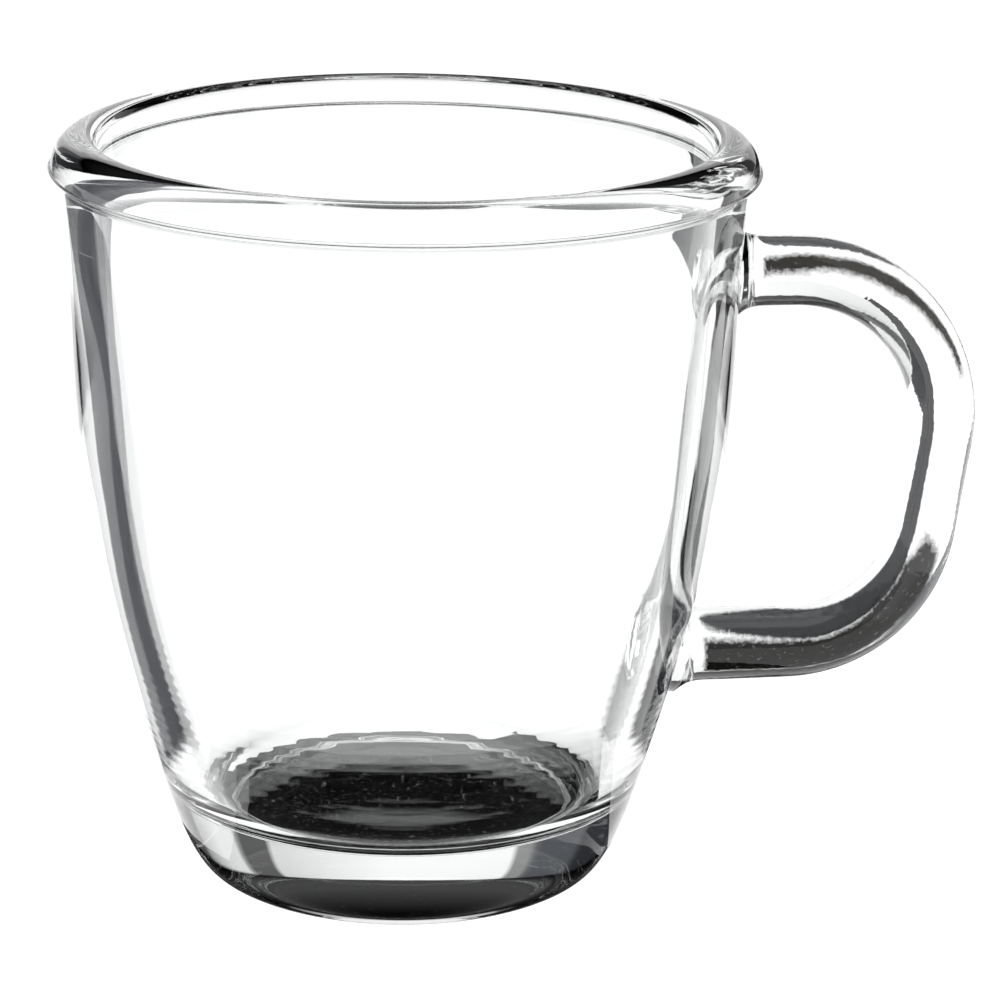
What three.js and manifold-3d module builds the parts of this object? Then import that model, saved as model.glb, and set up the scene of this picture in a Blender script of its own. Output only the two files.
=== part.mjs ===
// A clear pressed-glass coffee mug: a tapered cup with a thick solid base and a rounded lip,
// and a round glass handle bar bent to a D and set on the cup's wall with two flared feet.
// Millimetres, +Z up. The foot's bearing face is centred on the origin and the handle points to +X.
import * as THREE from "three";
import { mergeVertices } from "three/addons/utils/BufferGeometryUtils.js";
import Module from "manifold-3d";

const wasm = await Module();
wasm.setup();

// Cup, outside
const CUP_HEIGHT = 97;
const LIP_RADIUS = 44.6; // greatest radius of the rounded lip
const LIP_HALF_WIDTH = 2.96; // radial half width of the lip's crown
const LIP_CROWN = 4.2; // height of the crown over the lip's lower edge
const CREST_SHIFT = 1.3; // how far the crown's top lies inside the middle of its width
const CROWN_FULLNESS = 2.2; // 2 is an ellipse, more is squarer
const INNER_DROP = 2.8; // from the crown's top down to where the inner wall begins
const SEAM_HEIGHT = 0.3; // the mould seam's ridge, standing out of the lip's lower edge
const SEAM_WIDTH = 0.9;
const NECK_RADIUS = 43.6; // the wall just under the lip
const NECK_DROP = 0.6; // how far the neck lies under the lip's lower edge
const HEEL_RADIUS = 31.2; // the wall where it turns in to the foot
const HEEL_HEIGHT = 10.9;
const FOOT_RADIUS = 25.5; // the flat bearing face
const HEEL_ROUND = 1.8; // pull of the heel's curve along the bearing face
const HEEL_RISE = 6.5; // pull of the heel's curve along the wall
const BELLY_OUT = 14.7; // the wall's swell over the heel: outwards and upwards
const BELLY_UP = 47.6;
const FLARE_IN = 3.1; // the wall's run to the neck: inwards and downwards
const FLARE_DOWN = 24.9;

// Cup, inside
const FLOOR_HEIGHT = 10.7; // thickness of the solid base on the axis
const FLOOR_RADIUS = 23.5; // the flat part of the floor
const WELL_RADIUS = 28.6; // where the floor's round corner has become wall
const WELL_HEIGHT = 17;
const WELL_ROUND = 3; // pull of the corner's curve along the floor
const WELL_RISE = 3.5; // pull of the corner's curve along the wall
const INNER_OUT = 8; // the inner wall's swell over the corner: outwards and upwards
const INNER_UP = 26;
const INNER_FLARE_OUT = 0.15; // the inner wall's run to the lip: outwards and downwards
const INNER_FLARE_DOWN = 30;

// Handle
const UPPER_ARM_HEIGHT = 78.5; // axis of the upper arm
const LOWER_ARM_HEIGHT = 27.8; // axis of the lower arm
const UPPER_BEND_RADIUS = 20.3;
const LOWER_BEND_RADIUS = 17.8;
const UPPER_BEND_REACH = 50.4; // the bends' centres, from the cup's axis
const LOWER_BEND_REACH = 51.2;
const UPPER_BAR_RADIUS = 4.6;
const GRIP_BAR_RADIUS = 4.25; // the bar is drawn thinner round the outside of the D
const LOWER_BAR_RADIUS = 4.9;
const FOOT_FLARE = 1.1; // growth of the bar's radius where it spreads on the wall
const FOOT_FLARE_LENGTH = 4;
const ROOT_DEPTH = 4; // stock past the wall's face, trimmed to it below
const SEAT_GAP = 0.3; // between the handle's feet and the wall

// Facets
const CUP_SEGMENTS = 80;
const LIP_STEPS = 9;
const WALL_STEPS = 12;
const CORNER_STEPS = 6;
const BAR_RINGS = 64;
const BAR_SIDES = 28;

const clearGlass = (name) =>
  new THREE.MeshStandardMaterial({ name, color: 0xe9eef0, roughness: 0.03, metalness: 0 });

const v2 = (r, z) => new THREE.Vector2(r, z);

// The wall's outer line from the heel to the neck.
const heel = v2(HEEL_RADIUS, HEEL_HEIGHT);
const lipEdgeHeight = CUP_HEIGHT - LIP_CROWN;
const neck = v2(NECK_RADIUS, lipEdgeHeight - NECK_DROP);
const outerWall = new THREE.CubicBezierCurve(
  heel,
  v2(HEEL_RADIUS + BELLY_OUT, HEEL_HEIGHT + BELLY_UP),
  v2(NECK_RADIUS - FLARE_IN, neck.y - FLARE_DOWN),
  neck,
);

// The heel turns from the bearing face into the wall's own direction.
function heelCurve() {
  const rise = outerWall.getTangent(0).multiplyScalar(-HEEL_RISE).add(heel);
  return new THREE.CubicBezierCurve(v2(FOOT_RADIUS, 0), v2(FOOT_RADIUS + HEEL_ROUND, 0), rise, heel);
}

// The inner wall and the floor's round corner meet in one direction.
const well = v2(WELL_RADIUS, WELL_HEIGHT);
const lipInner = v2(LIP_RADIUS - 2 * LIP_HALF_WIDTH, CUP_HEIGHT - INNER_DROP);
const innerWall = new THREE.CubicBezierCurve(
  well,
  v2(WELL_RADIUS + INNER_OUT, WELL_HEIGHT + INNER_UP),
  v2(lipInner.x + INNER_FLARE_OUT, lipInner.y - INNER_FLARE_DOWN),
  lipInner,
);
function wellCurve() {
  const pull = well.clone().sub(innerWall.getTangent(0).multiplyScalar(WELL_RISE));
  return new THREE.CubicBezierCurve(
    v2(FLOOR_RADIUS, FLOOR_HEIGHT),
    v2(FLOOR_RADIUS + WELL_ROUND, FLOOR_HEIGHT),
    pull,
    well,
  );
}

// One closed profile, up the outside, over the lip and down the inside to the floor.
function cupProfile() {
  const crest = LIP_RADIUS - LIP_HALF_WIDTH - CREST_SHIFT;
  const crown = [];
  for (let i = 0; i <= 2 * LIP_STEPS; i += 1) {
    const a = (Math.PI * i) / (2 * LIP_STEPS);
    const across = Math.abs(Math.cos(a)) ** (2 / CROWN_FULLNESS);
    const up = Math.sin(a) ** (2 / CROWN_FULLNESS);
    const outside = i <= LIP_STEPS;
    const reach = outside ? LIP_RADIUS - crest : lipInner.x - crest;
    const drop = outside ? LIP_CROWN : INNER_DROP;
    crown.push(v2(crest + reach * across, CUP_HEIGHT - drop * (1 - up)));
  }
  const seam = [
    v2(LIP_RADIUS - SEAM_HEIGHT, lipEdgeHeight - SEAM_WIDTH / 3),
    v2(LIP_RADIUS + SEAM_HEIGHT, lipEdgeHeight),
    v2(LIP_RADIUS, lipEdgeHeight + SEAM_WIDTH / 2),
  ];
  const overCrown = crown.slice(1, -1).filter((p) => p.y > lipEdgeHeight + SEAM_WIDTH / 2);
  return [
    v2(0, 0),
    ...heelCurve().getPoints(CORNER_STEPS),
    ...outerWall.getPoints(WALL_STEPS).slice(1),
    ...seam,
    ...overCrown,
    ...innerWall.getPoints(WALL_STEPS).reverse(),
    ...wellCurve().getPoints(CORNER_STEPS).reverse().slice(1),
    v2(0, FLOOR_HEIGHT),
  ];
}

// A profile in (radius, height) revolved about +Z.
function revolve(profile) {
  return new THREE.LatheGeometry(profile, CUP_SEGMENTS).rotateX(Math.PI / 2);
}

// The bar's axis in the plane of the cup's axis: arm, bend, the line that touches both bends, bend, arm.
function barAxis() {
  const upper = v2(UPPER_BEND_REACH, UPPER_ARM_HEIGHT - UPPER_BEND_RADIUS);
  const lower = v2(LOWER_BEND_REACH, LOWER_ARM_HEIGHT + LOWER_BEND_RADIUS);
  const apart = upper.clone().sub(lower);
  const lean = Math.acos((LOWER_BEND_RADIUS - UPPER_BEND_RADIUS) / apart.length());
  const touch = Math.atan2(apart.y, apart.x) - lean;
  const axis = new THREE.Path();
  axis.moveTo(wallRadiusAt(UPPER_ARM_HEIGHT) - ROOT_DEPTH, UPPER_ARM_HEIGHT);
  axis.lineTo(upper.x, UPPER_ARM_HEIGHT);
  axis.absarc(upper.x, upper.y, UPPER_BEND_RADIUS, Math.PI / 2, touch, true);
  axis.absarc(lower.x, lower.y, LOWER_BEND_RADIUS, touch, -Math.PI / 2, true);
  axis.lineTo(wallRadiusAt(LOWER_ARM_HEIGHT) - ROOT_DEPTH, LOWER_ARM_HEIGHT);
  return axis;
}

// The wall's outer radius at a height, by halving the curve's range.
function wallRadiusAt(height) {
  let low = 0;
  let high = 1;
  for (let i = 0; i < 40; i += 1) {
    const mid = (low + high) / 2;
    if (outerWall.getPoint(mid).y < height) low = mid;
    else high = mid;
  }
  return outerWall.getPoint(low).x;
}

// The bar's radius at a share of its length: thinner at the grip, spread where each end meets the wall.
function barRadiusAt(share, length) {
  const half = Math.sin(Math.PI * share) ** 2;
  const end = share < 0.5 ? UPPER_BAR_RADIUS : LOWER_BAR_RADIUS;
  const fromWall = Math.min(share, 1 - share) * length - ROOT_DEPTH;
  const spread = THREE.MathUtils.clamp(1 - fromWall / FOOT_FLARE_LENGTH, 0, 1);
  return end + (GRIP_BAR_RADIUS - end) * half + FOOT_FLARE * spread ** 2;
}

// A round bar lofted along its axis, with rings drawn closer together near both ends.
function loftBar() {
  const axis = barAxis();
  const length = axis.getLength();
  const points = [];
  const faces = [];
  for (let i = 0; i <= BAR_RINGS; i += 1) {
    const even = i / BAR_RINGS;
    const share = even - Math.sin(2 * Math.PI * even) / (4 * Math.PI);
    const at = axis.getPointAt(share);
    const along = axis.getTangentAt(share);
    const radius = barRadiusAt(share, length);
    for (let j = 0; j < BAR_SIDES; j += 1) {
      const a = (2 * Math.PI * j) / BAR_SIDES;
      const out = radius * Math.cos(a);
      points.push(at.x - along.y * out, radius * Math.sin(a), at.y + along.x * out);
    }
  }
  for (let i = 0; i < BAR_RINGS; i += 1) {
    for (let j = 0; j < BAR_SIDES; j += 1) {
      const k = (j + 1) % BAR_SIDES;
      const a = i * BAR_SIDES + j;
      const b = i * BAR_SIDES + k;
      faces.push(a, a + BAR_SIDES, b, b, a + BAR_SIDES, b + BAR_SIDES);
    }
  }
  const last = BAR_RINGS * BAR_SIDES;
  for (let j = 1; j < BAR_SIDES - 1; j += 1) {
    faces.push(0, j, j + 1);
    faces.push(last, last + j + 1, last + j);
  }
  const bar = new THREE.BufferGeometry();
  bar.setAttribute("position", new THREE.Float32BufferAttribute(points, 3));
  bar.setIndex(faces);
  return bar;
}

// The space that the cup takes up beside the handle, grown by the seat's gap.
function cupSpace() {
  const side = outerWall.getPoints(2 * WALL_STEPS).map((p) => v2(p.x + SEAT_GAP, p.y));
  return revolve([v2(0, HEEL_HEIGHT), ...side, v2(0, neck.y)]);
}

// A closed geometry as a solid, and a solid as a geometry.
function toSolid(geometry) {
  const bare = geometry.clone();
  bare.deleteAttribute("normal");
  bare.deleteAttribute("uv");
  const merged = mergeVertices(bare, 1e-4);
  const mesh = new wasm.Mesh({
    numProp: 3,
    vertProperties: new Float32Array(merged.attributes.position.array),
    triVerts: new Uint32Array(merged.index.array),
  });
  return new wasm.Manifold(mesh);
}
function toGeometry(solid) {
  const mesh = solid.getMesh();
  const geometry = new THREE.BufferGeometry();
  geometry.setAttribute("position", new THREE.BufferAttribute(mesh.vertProperties, 3));
  geometry.setIndex(new THREE.BufferAttribute(mesh.triVerts, 1));
  geometry.computeVertexNormals();
  return geometry;
}

// Both ends of the bar are trimmed to the wall, and what is left inside the cup falls away.
function handleGeometry() {
  const trimmed = toSolid(loftBar()).subtract(toSolid(cupSpace()));
  const bodies = trimmed.decompose().sort((a, b) => b.volume() - a.volume());
  return toGeometry(bodies[0]);
}

const mug = new THREE.Group();

const cup = new THREE.Mesh(revolve(cupProfile()), clearGlass("pressed clear glass"));
cup.name = "cup_body";
mug.add(cup);

const handle = new THREE.Mesh(handleGeometry(), clearGlass("drawn clear glass"));
handle.name = "handle";
mug.add(handle);

export default mug;
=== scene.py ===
"""The looks of a clear pressed-glass coffee mug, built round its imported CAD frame.

The cup is one revolved profile and the handle is one bent bar. Both are clear glass and fused where
the bar's feet sit on the wall, so light passes from one into the other with no face between them.
"""

import logging
import math
from dataclasses import dataclass, field
from enum import Enum
from itertools import pairwise

import bmesh
import bpy
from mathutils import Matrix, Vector


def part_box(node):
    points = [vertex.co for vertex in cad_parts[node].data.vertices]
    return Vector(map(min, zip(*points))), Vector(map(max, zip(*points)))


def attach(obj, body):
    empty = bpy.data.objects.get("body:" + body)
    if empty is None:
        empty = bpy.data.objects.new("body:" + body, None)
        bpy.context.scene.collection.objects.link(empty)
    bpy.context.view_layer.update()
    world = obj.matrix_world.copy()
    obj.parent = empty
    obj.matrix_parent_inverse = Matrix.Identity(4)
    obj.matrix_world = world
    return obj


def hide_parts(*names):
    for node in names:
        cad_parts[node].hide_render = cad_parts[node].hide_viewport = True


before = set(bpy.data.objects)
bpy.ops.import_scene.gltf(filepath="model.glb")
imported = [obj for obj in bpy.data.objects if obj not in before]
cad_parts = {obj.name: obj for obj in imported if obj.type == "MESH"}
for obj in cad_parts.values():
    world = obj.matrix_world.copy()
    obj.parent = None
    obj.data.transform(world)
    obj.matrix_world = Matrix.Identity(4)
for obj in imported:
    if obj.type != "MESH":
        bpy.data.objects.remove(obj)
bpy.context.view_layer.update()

MM = 0.001
log = logging.getLogger("mug")

Point = tuple[float, float]


class SeenBy(Enum):
    """Which rays see a stage piece."""

    EVERY_RAY = "every ray"
    GLASS_ONLY = "glass only"


def linear(hex_colour: str) -> tuple[float, float, float, float]:
    """Turn an sRGB hex colour into a linear one.

    Args:
        hex_colour: Six hex digits, such as "f4f6f6".

    Returns:
        Linear red, green, blue and an alpha of 1.
    """
    parts = [int(hex_colour[i : i + 2], 16) / 255 for i in (0, 2, 4)]
    return (*[c / 12.92 if c <= 0.04045 else ((c + 0.055) / 1.055) ** 2.4 for c in parts], 1.0)


def add_node(tree: bpy.types.NodeTree, kind: str, inputs: dict | None = None, **settings) -> bpy.types.Node:
    """Add a node, set it up and link it.

    Args:
        tree: The node tree that takes the node.
        kind: The node's type without its "ShaderNode" prefix.
        inputs: Socket name or number to a value or to another node's output.
        **settings: Properties of the node itself.

    Returns:
        The new node.
    """
    node = tree.nodes.new("ShaderNode" + kind)
    for name, value in settings.items():
        setattr(node, name, value)
    for socket, value in (inputs or {}).items():
        if isinstance(value, bpy.types.NodeSocket):
            tree.links.new(value, node.inputs[socket])
        else:
            node.inputs[socket].default_value = value
    return node


def bezier(a: Point, b: Point, c: Point, d: Point, steps: int) -> list[Point]:
    """Points along a cubic curve.

    Args:
        a: The start.
        b: The start's pull.
        c: The end's pull.
        d: The end.
        steps: How many stretches the curve is cut into.

    Returns:
        steps + 1 points from a to d.
    """
    points = []
    for i in range(steps + 1):
        t = i / steps
        weights = ((1 - t) ** 3, 3 * (1 - t) ** 2 * t, 3 * (1 - t) * t * t, t**3)
        points.append(tuple(sum(w * p[k] for w, p in zip(weights, (a, b, c, d))) for k in (0, 1)))
    return points


def start_edit() -> None:
    """Open the active object in edit mode with all of it selected."""
    bpy.ops.object.mode_set(mode="EDIT")
    bpy.ops.mesh.select_all(action="SELECT")


def draw_line(name: str, points: list[Vector]) -> bpy.types.Object:
    """Draw a line point by point, each extruded from the last, and stay in edit mode.

    Args:
        name: The new object's name.
        points: The line's points, in metres.

    Returns:
        The new object.
    """
    bpy.ops.object.select_all(action="DESELECT")
    bpy.ops.mesh.primitive_plane_add(size=MM, location=(0, 0, 0))
    line = bpy.context.object
    line.name = name
    start_edit()
    bpy.ops.mesh.merge(type="CENTER")
    bpy.ops.transform.translate(value=points[0])
    for a, b in pairwise(points):
        bpy.ops.mesh.extrude_region_move(TRANSFORM_OT_translate={"value": b - a})
    bpy.ops.mesh.select_all(action="SELECT")
    return line


def close_edit() -> None:
    """Merge doubles, turn the faces outwards and go back to object mode."""
    bpy.ops.mesh.select_all(action="SELECT")
    bpy.ops.mesh.remove_doubles(threshold=1e-3 * MM)
    bpy.ops.mesh.normals_make_consistent(inside=False)
    bpy.ops.object.mode_set(mode="OBJECT")


@dataclass
class Cup:
    """The pressed cup: foot, solid base, tapered wall and rounded lip. Sizes in millimetres."""

    lip_half_width: float = 2.96
    lip_crown: float = 4.2
    crest_shift: float = 1.3
    crown_fullness: float = 2.2
    inner_drop: float = 2.8
    seam_height: float = 0.3
    seam_width: float = 0.3
    fillet_drop: float = 1.8
    fillet_lean: Point = (0.1, 1.0)
    fillet_tuck: Point = (0.9, 0.1)
    ridge_round: float = 0.1
    ledge_round: float = 0.05
    ledge_clear: float = 0.1
    crown_steps: int = 72
    neck: Point = (43.6, -0.6)
    heel: Point = (31.2, 10.9)
    foot_radius: float = 25.5
    heel_round: float = 1.8
    heel_rise: float = 6.5
    belly_pull: Point = (14.7, 47.6)
    flare_pull: Point = (-3.1, -24.9)
    recess_radius: float = 22.7
    recess_rise: float = 1.3
    recess_round: float = 0.6
    floor_height: float = 10.7
    floor_dome: float = 0.4
    floor_radius: float = 23.5
    well: Point = (28.6, 17.0)
    well_round: float = 3.0
    well_rise: float = 3.5
    inner_pull: Point = (8.0, 26.0)
    inner_flare_pull: Point = (0.15, -30.0)
    chill_depth: float = 0.006
    chill_pitch: float = 1.45
    chill_foot: float = 13.5
    chill_top: float = 42.0
    chill_fade: float = 4.0
    chill_wobble: Point = (0.8, 1.3)
    floor_chill_depth: float = 0.002
    floor_chill_pitch: float = 2.6
    floor_chill_fade: float = 2.0
    floor_chill_wobble: Point = (1.1, 0.9)
    segments: int = 160
    height: float = field(init=False)
    lip_radius: float = field(init=False)

    def __post_init__(self) -> None:
        """Take the height and the lip's radius from the CAD cup."""
        _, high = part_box("cup_body")
        self.height = high.z / MM
        self.lip_radius = high.x / MM - self.seam_height

    @property
    def lip_edge(self) -> float:
        """Height of the lip's lower edge."""
        return self.height - self.lip_crown

    def outer_wall(self, steps: int = 60) -> list[Point]:
        """The wall's outer line from the heel up to the neck.

        Args:
            steps: How many stretches it is cut into.

        Returns:
            Points as (radius, height).
        """
        top = (self.neck[0], self.lip_edge + self.neck[1])
        low_pull = (self.heel[0] + self.belly_pull[0], self.heel[1] + self.belly_pull[1])
        top_pull = (top[0] + self.flare_pull[0], top[1] + self.flare_pull[1])
        return bezier(self.heel, low_pull, top_pull, top, steps)

    def wall_radius_at(self, height: float) -> float:
        """The wall's outer radius at a height, in millimetres."""
        for low, high in pairwise(self.outer_wall(200)):
            if low[1] <= height <= high[1]:
                share = (height - low[1]) / (high[1] - low[1])
                return low[0] + share * (high[0] - low[0])
        return self.heel[0]

    def underside(self) -> list[Point]:
        """The foot from the axis out: a shallow recess, its rounded step, the bearing ring and the heel."""
        flat = self.recess_radius - self.recess_round
        points = [(flat * i / 8, self.recess_rise) for i in range(8)]
        for i in range(17):
            turn = math.cos(math.pi * i / 16)
            out = self.recess_radius - self.recess_round * turn
            points.append((out, self.recess_rise * (1 + turn) / 2))
        pull = math.hypot(*self.belly_pull)
        rise = tuple(h - b / pull * self.heel_rise for h, b in zip(self.heel, self.belly_pull))
        foot = (self.foot_radius, 0)
        return points + bezier(foot, (foot[0] + self.heel_round, 0), rise, self.heel, 28)

    def lip(self) -> list[Point]:
        """The hollow under the lip, the mould seam's ridge and the crown, from outside to inside."""
        edge = self.lip_edge
        ridge = self.lip_radius + self.seam_height
        low = edge - self.seam_width / 2
        ledge = edge + self.seam_width / 2
        foot = (self.wall_radius_at(edge - self.fillet_drop), edge - self.fillet_drop)
        foot_pull = (foot[0] + self.fillet_lean[0], foot[1] + self.fillet_lean[1])
        ridge_pull = (ridge - self.fillet_tuck[0], low - self.fillet_tuck[1])
        points = bezier(foot, foot_pull, ridge_pull, (ridge - self.ridge_round, low), 14)
        points += [(ridge, edge), (ridge, ledge - self.ledge_round), (self.lip_radius, ledge)]
        crest = self.lip_radius - self.lip_half_width - self.crest_shift
        inner = self.lip_radius - 2 * self.lip_half_width
        for i in range(1, self.crown_steps):
            a = math.pi * i / self.crown_steps
            across = abs(math.cos(a)) ** (2 / self.crown_fullness)
            up = math.sin(a) ** (2 / self.crown_fullness)
            outside = 2 * i <= self.crown_steps
            reach, drop = (self.lip_radius, self.lip_crown) if outside else (inner, self.inner_drop)
            point = (crest + (reach - crest) * across, self.height - drop * (1 - up))
            if point[1] > ledge + self.ledge_clear:
                points.append(point)
        return points

    def chill(self, point: Point) -> Point:
        """Move a point of the inner side by the rings that a cold plunger leaves low on it.

        Args:
            point: The point as (radius, height).

        Returns:
            The moved point.
        """
        radius, z = point
        if z <= self.floor_height:
            inset = (self.floor_radius - radius) / self.floor_chill_fade
            fade = min(1.0, max(0.0, inset)) * radius / self.floor_radius
            swing, rate = self.floor_chill_wobble
            wave = math.sin(math.tau * radius / self.floor_chill_pitch + swing * math.sin(rate * radius))
            dome = self.floor_dome * (1 - (radius / self.floor_radius) ** 2) ** 2
            return (radius, z + dome + self.floor_chill_depth * fade * wave)
        span = self.chill_top - self.chill_foot
        rise = (z - self.chill_foot) / self.chill_fade
        fade = min(1.0, max(0.0, rise)) * max(0.0, (self.chill_top - z) / span)
        swing, rate = self.chill_wobble
        wave = math.sin(math.tau * z / self.chill_pitch + swing * math.sin(rate * z))
        return (radius + self.chill_depth * fade * wave, z)

    def inside(self) -> list[Point]:
        """The inner wall from the lip down, the floor's round corner and the floor, to the axis."""
        top = (self.lip_radius - 2 * self.lip_half_width, self.height - self.inner_drop)
        low_pull = (self.well[0] + self.inner_pull[0], self.well[1] + self.inner_pull[1])
        top_pull = (top[0] + self.inner_flare_pull[0], top[1] + self.inner_flare_pull[1])
        wall = bezier(self.well, low_pull, top_pull, top, 200)
        upper = [p for p in wall[::5] if p[1] > self.chill_top]
        lower = [self.chill(p) for p in wall if p[1] <= self.chill_top]
        pull = math.hypot(*self.inner_pull)
        rise = tuple(w - i / pull * self.well_rise for w, i in zip(self.well, self.inner_pull))
        start = (self.floor_radius, self.floor_height)
        corner = bezier(start, (start[0] + self.well_round, start[1]), rise, self.well, 36)
        corner = [self.chill(p) for p in corner]
        floor = [self.chill((self.floor_radius * i / 60, self.floor_height)) for i in range(59, -1, -1)]
        return upper[::-1] + lower[::-1] + corner[-2::-1] + floor

    def build(self) -> bpy.types.Object:
        """Draw the profile point by point and spin it into the cup.

        Returns:
            The cup as a closed mesh.
        """
        lip = self.lip()
        wall = [p for p in self.outer_wall()[1:] if p[1] < lip[0][1] - 0.2]
        profile = self.underside() + wall + lip + self.inside()
        cup = draw_line("mug_glass", [Vector((r, 0, z)) * MM for r, z in profile])
        bpy.ops.mesh.spin(steps=self.segments, angle=math.tau, center=(0, 0, 0), axis=(0, 0, 1))
        close_edit()
        return cup


@dataclass
class Handle:
    """The drawn glass bar, bent to a D with its feet on the wall. Sizes in millimetres."""

    cup: Cup
    upper_arm: float = 78.5
    lower_arm: float = 27.8
    upper_bend: float = 20.3
    lower_bend: float = 17.8
    upper_reach: float = 50.4
    lower_reach: float = 51.2
    upper_bar: float = 4.6
    grip_bar: float = 4.25
    lower_bar: float = 4.9
    foot_flare: float = 1.4
    foot_flare_length: float = 4.2
    root_depth: float = 2.6
    arm_steps: int = 22
    bend_steps: int = 34
    line_steps: int = 6
    sides: int = 64

    def touch_angle(self) -> float:
        """Direction from each bend's centre to where the straight grip touches it, in radians."""
        dx = self.upper_reach - self.lower_reach
        dz = (self.upper_arm - self.upper_bend) - (self.lower_arm + self.lower_bend)
        return math.atan2(dz, dx) - math.acos((self.lower_bend - self.upper_bend) / math.hypot(dx, dz))

    def run(self, move: Vector, steps: int) -> None:
        """Extrude the bar's end straight on.

        Args:
            move: The whole way, in metres.
            steps: How many rings it takes.
        """
        for _ in range(steps):
            bpy.ops.mesh.extrude_region_move(TRANSFORM_OT_translate={"value": move / steps})

    def bend(self, centre: Vector, angle: float) -> None:
        """Spin the bar's end round a bend, downwards.

        Args:
            centre: The bend's centre, in metres.
            angle: How far it turns, in radians.
        """
        bpy.ops.mesh.spin(steps=self.bend_steps, angle=angle, center=centre, axis=(0, -1, 0))

    def bar_radius(self, along: float, length: float) -> float:
        """The bar's radius at a place along it.

        Args:
            along: Millimetres from the bar's upper end.
            length: The bar's whole length in millimetres.

        Returns:
            The radius in millimetres: thin at the grip, spread where each end meets the wall.
        """
        end = self.upper_bar if along < length / 2 else self.lower_bar
        grip = math.sin(math.pi * along / length) ** 2
        from_wall = min(along, length - along) - self.root_depth
        spread = min(1.0, max(0.0, 1 - from_wall / self.foot_flare_length))
        return end + (self.grip_bar - end) * grip + self.foot_flare * spread**3

    def size_rings(self, bar: bpy.types.Object) -> None:
        """Scale each ring of the bar about its own centre.

        Args:
            bar: The bar in edit mode, with rings of equal size in the order they were made.
        """
        mesh = bmesh.from_edit_mesh(bar.data)
        mesh.verts.ensure_lookup_table()
        rings = [range(i, i + self.sides) for i in range(0, len(mesh.verts), self.sides)]
        centres = [sum((mesh.verts[i].co for i in ring), Vector()) / self.sides for ring in rings]
        places = [0.0]
        for a, b in pairwise(centres):
            places.append(places[-1] + (b - a).length / MM)
        for ring, centre, along in zip(rings, centres, places):
            mesh = bmesh.from_edit_mesh(bar.data)
            mesh.verts.ensure_lookup_table()
            chosen = set(ring)
            for vert in mesh.verts:
                vert.select = vert.index in chosen
            mesh.select_flush_mode()
            scale = self.bar_radius(along, places[-1]) / self.grip_bar
            bpy.ops.transform.resize(value=(scale, scale, scale), center_override=centre)

    def build(self) -> bpy.types.Object:
        """Draw the bar out of the wall, round both bends and back into the wall.

        Returns:
            The bar as a closed mesh, with both ends inside the cup's wall.
        """
        touch = self.touch_angle()
        start = Vector((self.cup.wall_radius_at(self.upper_arm) - self.root_depth, 0, self.upper_arm)) * MM
        end = Vector((self.cup.wall_radius_at(self.lower_arm) - self.root_depth, 0, self.lower_arm)) * MM
        upper = Vector((self.upper_reach, 0, self.upper_arm - self.upper_bend)) * MM
        lower = Vector((self.lower_reach, 0, self.lower_arm + self.lower_bend)) * MM
        radial = Vector((math.cos(touch), 0, math.sin(touch))) * MM
        bpy.ops.object.select_all(action="DESELECT")
        bpy.ops.mesh.primitive_circle_add(
            vertices=self.sides,
            radius=self.grip_bar * MM,
            fill_type="NGON",
            location=start,
            rotation=(0, math.pi / 2, 0),
        )
        bar = bpy.context.object
        bar.name = "handle_bar"
        bpy.ops.object.transform_apply(location=True, rotation=True, scale=True)
        start_edit()
        self.run(Vector((upper.x - start.x, 0, 0)), self.arm_steps)
        self.bend(upper, math.pi / 2 - touch)
        self.run(lower + radial * self.lower_bend - upper - radial * self.upper_bend, self.line_steps)
        self.bend(lower, math.pi / 2 + touch)
        self.run(Vector((end.x - lower.x, 0, 0)), self.arm_steps)
        self.size_rings(bar)
        close_edit()
        return bar


@dataclass(frozen=True)
class ClearGlass:
    """Soda-lime glass, fire polished: it shows what lies behind it, and its own edges as dark lines."""

    name: str
    tint: str = "fdfefe"
    ior: float = 1.52
    roughness: float = 0.0
    peel_mm: float = 7.0
    peel_depth_mm: float = 0.004
    stretch: tuple[float, float, float] = (1.0, 1.0, 1.0)

    def make(self) -> bpy.types.Material:
        """Make the material.

        Returns:
            Clear glass whose surface is never quite flat.
        """
        material = bpy.data.materials.new(self.name)
        material.use_nodes = True
        tree = material.node_tree
        glass = tree.nodes["Principled BSDF"]
        glass.inputs["Base Color"].default_value = linear(self.tint)
        glass.inputs["Roughness"].default_value = self.roughness
        glass.inputs["IOR"].default_value = self.ior
        glass.inputs["Transmission Weight"].default_value = 1.0
        place = add_node(tree, "TexCoord")
        drawn = add_node(tree, "Mapping", {"Vector": place.outputs["Object"], "Scale": self.stretch})
        peel = add_node(
            tree,
            "TexNoise",
            {"Vector": drawn.outputs[0], "Scale": 1 / (self.peel_mm * MM), "Detail": 2.0},
        )
        bump = add_node(
            tree,
            "Bump",
            {"Height": peel.outputs["Fac"], "Strength": 1.0, "Distance": self.peel_depth_mm * MM},
        )
        tree.links.new(bump.outputs["Normal"], glass.inputs["Normal"])
        return material


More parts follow.
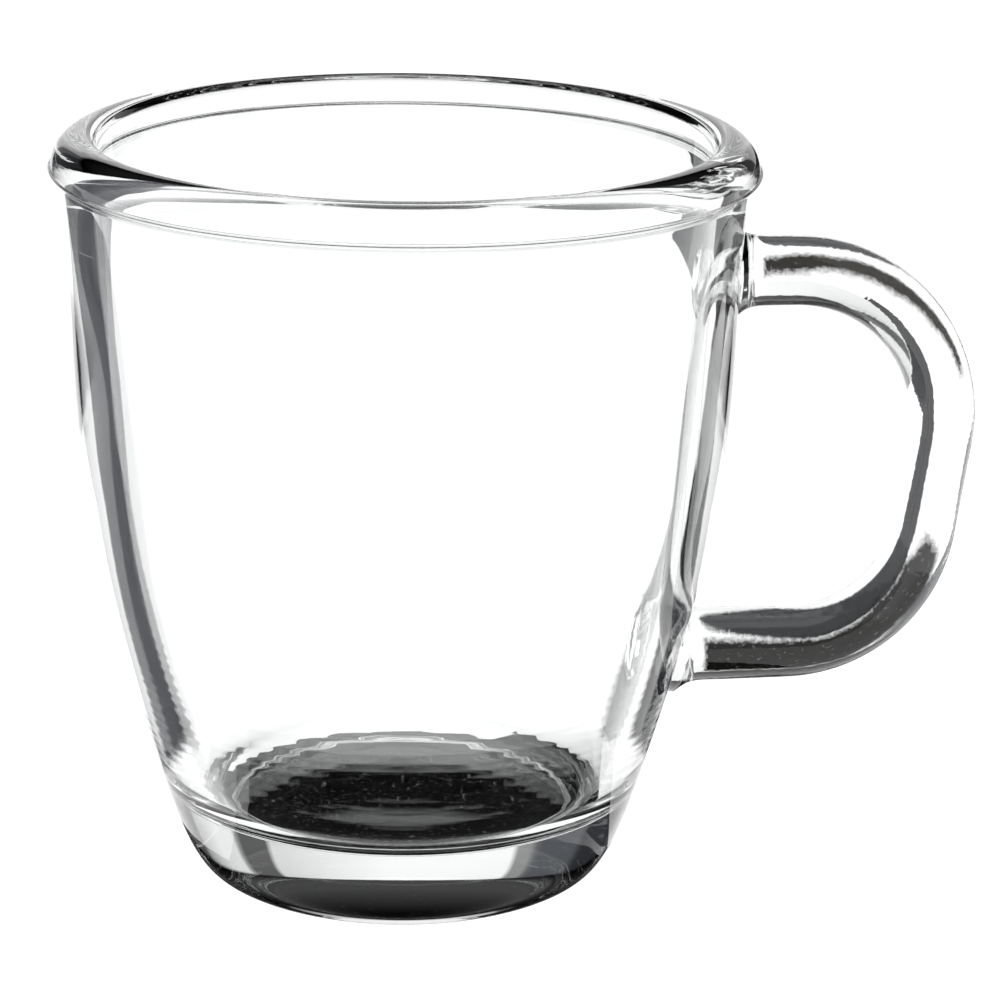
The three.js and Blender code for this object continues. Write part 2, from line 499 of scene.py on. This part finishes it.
@dataclass
class Mug:
    """Cup and handle, fused into one clear glass piece."""

    cup: Cup
    handle: Handle
    pressed: ClearGlass = ClearGlass("pressed soda-lime glass")
    chilled: ClearGlass = ClearGlass(
        "plunger-chilled soda-lime glass", peel_mm=1.6, peel_depth_mm=0.005, stretch=(0.2, 0.2, 1.0)
    )
    drawn: ClearGlass = ClearGlass("drawn soda-lime glass", peel_mm=0.9, peel_depth_mm=0.02)
    chill_start: float = 6.0
    chill_reach: float = 46.0
    floor_facing: float = 0.7
    crease: float = math.radians(40)

    def build(self) -> bpy.types.Object:
        """Fuse the handle to the cup.

        Returns:
            The whole mug as one closed mesh.
        """
        body = self.cup.build()
        bar = self.handle.build()
        body.data.materials.append(self.pressed.make())
        body.data.materials.append(self.chilled.make())
        for face in body.data.polygons:
            outward = face.normal.x * face.center.x + face.normal.y * face.center.y
            inner = outward < 0 or face.normal.z > self.floor_facing
            chilled = self.chill_start * MM < face.center.z < self.chill_reach * MM
            face.material_index = int(inner and chilled)
        bar.data.materials.append(self.drawn.make())
        bpy.ops.object.select_all(action="DESELECT")
        body.select_set(True)
        bpy.context.view_layer.objects.active = body
        fuse = body.modifiers.new("fuse", "BOOLEAN")
        fuse.operation = "UNION"
        fuse.solver = "EXACT"
        fuse.material_mode = "TRANSFER"
        fuse.object = bar
        bpy.ops.object.modifier_apply(modifier=fuse.name)
        bpy.data.objects.remove(bar)
        bpy.ops.object.shade_smooth_by_angle(angle=self.crease)
        return body

    def dress(self, body: bpy.types.Object) -> None:
        """Set the mug on the frame in place of its two CAD nodes.

        Args:
            body: The finished mug.
        """
        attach(body, "root")
        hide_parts("cup_body", "handle")


@dataclass(frozen=True)
class Panel:
    """A stretch of the surroundings from its start to the next panel's, in degrees from straight back."""

    start: float
    strength: float
    soft: float = 0.6
    tint: str = "ffffff"

    @property
    def colour(self) -> tuple[float, float, float, float]:
        """Its linear colour."""
        return (*[self.strength * part for part in linear(self.tint)[:3]], 1.0)


@dataclass(frozen=True)
class Flag:
    """A dark upright cloth behind the mug that only the glass sees. Outline as (x, z) in millimetres."""

    name: str
    colour: str
    outline: tuple[Point, ...]
    behind: float = 14.0
    soft: float = 1.9

    def corners(self) -> list[Vector]:
        """Its corners in order, in metres."""
        return [Vector((x, self.behind, z)) * MM for x, z in self.outline]


@dataclass(frozen=True)
class SideSheet:
    """A grey sheet on the floor that only the glass sees. Outline as (x, y) in millimetres."""

    name: str
    colour: str
    outline: tuple[Point, ...]
    drop: float = -0.35
    soft: float = 5.0

    def corners(self) -> list[Vector]:
        """Its corners in order, in metres."""
        return [Vector((x, y, self.drop)) * MM for x, y in self.outline]


@dataclass
class Studio:
    """Floor, painted shade at the foot, sheets, cloths, surroundings and camera. Sizes in millimetres and
    degrees.
    """

    handle_turn: float = 5.0
    backdrop: tuple[Panel, ...] = (
        Panel(-180, 0.5),
        Panel(-150, 0.08, 3),
        Panel(-122, 0.15, 3),
        Panel(-62, 0.036, 2, "dfe6f4"),
        Panel(-40, 0.105, 1.5, "e4eaf4"),
        Panel(-25, 0.25),
        Panel(-20.5, 0.85),
        Panel(12, 0.62, 10),
        Panel(24.5, 0.10),
        Panel(34, 0.70),
        Panel(47, 0.40, 5),
        Panel(53, 0.12, 1),
        Panel(60, 0.15, 1.5),
        Panel(122, 0.08, 3),
        Panel(150, 0.5, 3),
    )
    backdrop_top: tuple[float, float] = (21.6, 19.8)
    roof: tuple[float, float] = (22.0, 31.0)
    roof_strength: float = 0.06
    softbox: tuple[float, float] = (60.0, 65.0)
    white: float = 1.25
    cloths: tuple[Flag, ...] = (
        Flag(
            "lower_cloth",
            "12100c",
            (
                (40.5, 21.2), (56, 21.6), (62, 23.6), (68, 26.6), (73, 33), (72, 40),
                (66, 38.5), (61.5, 33.4), (55, 30.4), (40.5, 29.9),
            ),
        ),
        Flag(
            "upper_cloth",
            "38342c",
            (
                (46.5, 76.8), (54, 76.3), (60.5, 73.8), (65, 70.6), (68.2, 65.4), (69.4, 58),
                (65.2, 57), (63, 63.6), (60.4, 66.8), (56.6, 70.2), (46.5, 72.2),
            ),
        ),
    )
    side_sheets: tuple[SideSheet, ...] = (
        SideSheet(
            "left_sheet",
            "8e9198",
            (
                (-34, 25), (-50, 48), (-68, 80), (-94, 117), (-102, 169), (-120, 248), (-217, 621),
                (-700, 2500), (-1900, 2200), (-720, 560), (-270, 150), (-185, 85), (-150, 50),
                (-105, 30), (-75, 10), (-58, -4),
            ),
        ),
        SideSheet(
            "right_sheet",
            "53555a",
            (
                (38, 26), (49, 51), (68, 81), (106, 106), (124, 150), (168, 230), (262, 687),
                (860, 2500), (2600, 1900), (620, 420), (232, 190), (160, 105), (132, 66),
                (99, 37), (71, 18), (54, 6),
            ),
        ),
    )
    # Painted shade that only the glass sees: a near-black sheet under the foot that stands in for the mug's
    # shadow there, reaching out as a dark patch in front of and beside the mug. Rows give a direction's end
    # in degrees and the reach in millimetres.
    foot_shade: tuple[Point, ...] = ((-112, 58), (-60, 32), (40, 26), (105, 29), (180, 58))
    foot_shade_colour: str = "0a0a0a"
    foot_shade_drop: float = -0.2
    foot_shade_step: int = 2
    fray_grain: float = 0.7
    fray_share: float = 0.9
    fray_range: tuple[float, float] = (0.55, 1.35)
    floor_size: float = 6000.0
    floor_drop: float = -0.5
    floor_paint: str = "e6e6e6"
    floor_roughness: float = 0.8
    floor_glow: float = 0.94
    eye: tuple[float, float, float] = (-38.27, -437.44, 185.56)
    tilt: tuple[float, float, float] = (72.676, -0.8715, -6.3563)
    sensor: float = 36.0
    lens: float = 127.572
    bounces: int = 24

    def seen_by(self, piece: bpy.types.Object, rays: SeenBy) -> None:
        """Say which rays see a stage piece.

        Args:
            piece: The floor or a sheet.
            rays: The rays that see it.
        """
        shown = rays is SeenBy.EVERY_RAY
        piece.visible_camera = shown
        piece.visible_diffuse = shown
        piece.visible_shadow = shown

    def floor(self) -> None:
        """A pale floor that camera and glass see alike and that keeps the mug's soft shadow."""
        bpy.ops.mesh.primitive_plane_add(size=self.floor_size * MM, location=(0, 0, self.floor_drop * MM))
        plane = bpy.context.object
        plane.name = "floor"
        material = bpy.data.materials.new("pale floor")
        material.use_nodes = True
        paint = material.node_tree.nodes["Principled BSDF"]
        paint.inputs["Base Color"].default_value = linear(self.floor_paint)
        paint.inputs["Roughness"].default_value = self.floor_roughness
        paint.inputs["Specular IOR Level"].default_value = 0.0
        paint.inputs["Emission Color"].default_value = linear("ffffff")
        paint.inputs["Emission Strength"].default_value = self.floor_glow
        plane.data.materials.append(material)
        self.seen_by(plane, SeenBy.EVERY_RAY)

    def dark_sheet(self, name: str, colour: str, corners: list[Vector], soft: float = 0.0) -> None:
        """A flat dark sheet that only the glass sees.

        Args:
            name: The sheet's name.
            colour: Its sRGB hex colour.
            corners: Its corners in order, in metres.
            soft: Width of its frayed edge, in metres.
        """
        piece = draw_line(name, corners)
        bpy.ops.mesh.edge_face_add()
        if soft:
            bpy.ops.mesh.inset(thickness=soft, depth=0)
        bpy.ops.object.mode_set(mode="OBJECT")
        cover = piece.data.attributes.new("cover", "FLOAT", "POINT")
        cover.data.foreach_set("value", [float(vert.select) for vert in piece.data.vertices])
        cloth = bpy.data.materials.new(name + " cloth")
        cloth.use_nodes = True
        tree = cloth.node_tree
        paint = tree.nodes["Principled BSDF"]
        paint.inputs["Base Color"].default_value = linear(colour)
        paint.inputs["Specular IOR Level"].default_value = 0.0
        place = add_node(tree, "TexCoord")
        fray = add_node(
            tree,
            "TexNoise",
            {"Vector": place.outputs["Object"], "Scale": 1 / (self.fray_grain * MM), "Detail": 3.0},
        )
        edge = add_node(tree, "Attribute", attribute_name="cover")
        worn = add_node(
            tree,
            "Math",
            {0: fray.outputs["Fac"], 1: self.fray_share, 2: edge.outputs["Fac"]},
            operation="MULTIPLY_ADD",
        )
        bare, full = self.fray_range
        share = add_node(tree, "MapRange", {0: worn.outputs[0], 1: bare, 2: full})
        gap = add_node(tree, "BsdfTransparent")
        shown = add_node(tree, "MixShader", {0: share.outputs[0], 1: gap.outputs[0], 2: paint.outputs[0]})
        tree.links.new(shown.outputs[0], tree.nodes["Material Output"].inputs[0])
        piece.data.materials.append(cloth)
        self.seen_by(piece, SeenBy.GLASS_ONLY)

    def dark_sheets(self) -> None:
        """The painted shadow under the foot with its dark patch in front, the sheets beside the mug and the
        cloths behind the handle.
        """
        corners = []
        for degrees in range(-180, 180, self.foot_shade_step):
            reach = next(r for end, r in self.foot_shade if degrees <= end)
            way = math.radians(degrees - self.handle_turn)
            corners.append(Vector((reach * math.sin(way), reach * math.cos(way), self.foot_shade_drop)) * MM)
        # Painted shadow that only the glass sees, under the foot and out in front of it.
        self.dark_sheet("painted_foot_shade", self.foot_shade_colour, corners)
        for sheet in (*self.side_sheets, *self.cloths):
            self.dark_sheet(sheet.name, sheet.colour, sheet.corners(), sheet.soft * MM)

    def surroundings(self) -> None:
        """A white backdrop with dark gaps, a dim roof and a softbox overhead, the same for every ray."""
        world = bpy.data.worlds.new("studio")
        bpy.context.scene.world = world
        world.use_nodes = True
        tree = world.node_tree
        tree.nodes.clear()
        place = add_node(tree, "TexCoord")
        turned = add_node(
            tree,
            "VectorRotate",
            {"Vector": place.outputs["Generated"], "Angle": math.radians(self.handle_turn)},
            rotation_type="Z_AXIS",
        )
        axes = add_node(tree, "SeparateXYZ", {0: turned.outputs[0]})
        height = axes.outputs["Z"]
        way = add_node(tree, "Math", {0: axes.outputs["X"], 1: axes.outputs["Y"]}, operation="ARCTAN2")
        share = add_node(
            tree, "Math", {0: way.outputs[0], 1: 1 / math.tau, 2: 0.5}, operation="MULTIPLY_ADD"
        )
        round_about = self.ring(tree, share.outputs[0], self.backdrop)
        under_top = self.step(tree, height, *self.backdrop_top)
        gain = add_node(tree, "Math", {0: under_top, 1: self.white}, operation="MULTIPLY")
        roof = self.step(tree, height, *self.roof)
        softbox = self.step(tree, height, *self.softbox)
        overhead = add_node(
            tree, "Math", {0: roof, 1: self.roof_strength, 2: softbox}, operation="MULTIPLY_ADD"
        )
        total = add_node(
            tree,
            "VectorMath",
            {0: round_about, 1: gain.outputs[0], 2: overhead.outputs[0]},
            operation="MULTIPLY_ADD",
        )
        sky = add_node(tree, "Background", {"Color": total.outputs[0]})
        add_node(tree, "OutputWorld", {0: sky.outputs[0]})

    def step(
        self, tree: bpy.types.NodeTree, height: bpy.types.NodeSocket, low: float, high: float
    ) -> bpy.types.NodeSocket:
        """A rise from 0 to 1 between two heights above the horizon.

        Args:
            tree: The world's node tree.
            height: The socket with the direction's upward part.
            low: Degrees where it is 0.
            high: Degrees where it is 1.

        Returns:
            The rise's output socket.
        """
        limits = {0: height, 1: math.sin(math.radians(low)), 2: math.sin(math.radians(high))}
        return add_node(tree, "MapRange", limits).outputs[0]

    def ring(
        self, tree: bpy.types.NodeTree, share: bpy.types.NodeSocket, panels: tuple[Panel, ...]
    ) -> bpy.types.NodeSocket:
        """Panels all round the mug.

        Args:
            tree: The world's node tree.
            share: The socket with the direction round the mug, 0.5 straight back.
            panels: The panels in order.

        Returns:
            The output socket with the panels' colour.
        """
        node = add_node(tree, "ValToRGB", {0: share})
        ramp = node.color_ramp
        ramp.elements[0].color = panels[0].colour
        ramp.elements[1].color = panels[-1].colour
        for before, after in pairwise(panels):
            for angle, panel in ((after.start - after.soft, before), (after.start + after.soft, after)):
                ramp.elements.new(angle / 360 + 0.5).color = panel.colour
        return node.outputs[0]

    def camera(self) -> None:
        """The camera at the photograph's place and angle."""
        data = bpy.data.cameras.new("camera")
        data.sensor_width = self.sensor
        data.lens = self.lens
        data.clip_start = 10 * MM
        camera = bpy.data.objects.new("camera", data)
        camera.location = Vector(self.eye) * MM
        camera.rotation_euler = [math.radians(a) for a in self.tilt]
        bpy.context.scene.collection.objects.link(camera)
        bpy.context.scene.camera = camera

    def build(self) -> None:
        """Set the whole studio up."""
        self.floor()
        self.dark_sheets()
        self.surroundings()
        self.camera()
        scene = bpy.context.scene
        scene.view_settings.view_transform = "Standard"
        scene.cycles.max_bounces = self.bounces
        scene.cycles.glossy_bounces = self.bounces
        scene.cycles.transmission_bounces = self.bounces


def main() -> None:
    """Build the mug and its studio, and log the mug's face count."""
    logging.basicConfig(level=logging.INFO, format="%(name)s: %(message)s")
    cup = Cup()
    mug = Mug(cup, Handle(cup))
    body = mug.build()
    mug.dress(body)
    log.info("%s: %d faces", body.name, len(body.data.polygons))
    Studio().build()


if __name__ == "__main__":
    main()
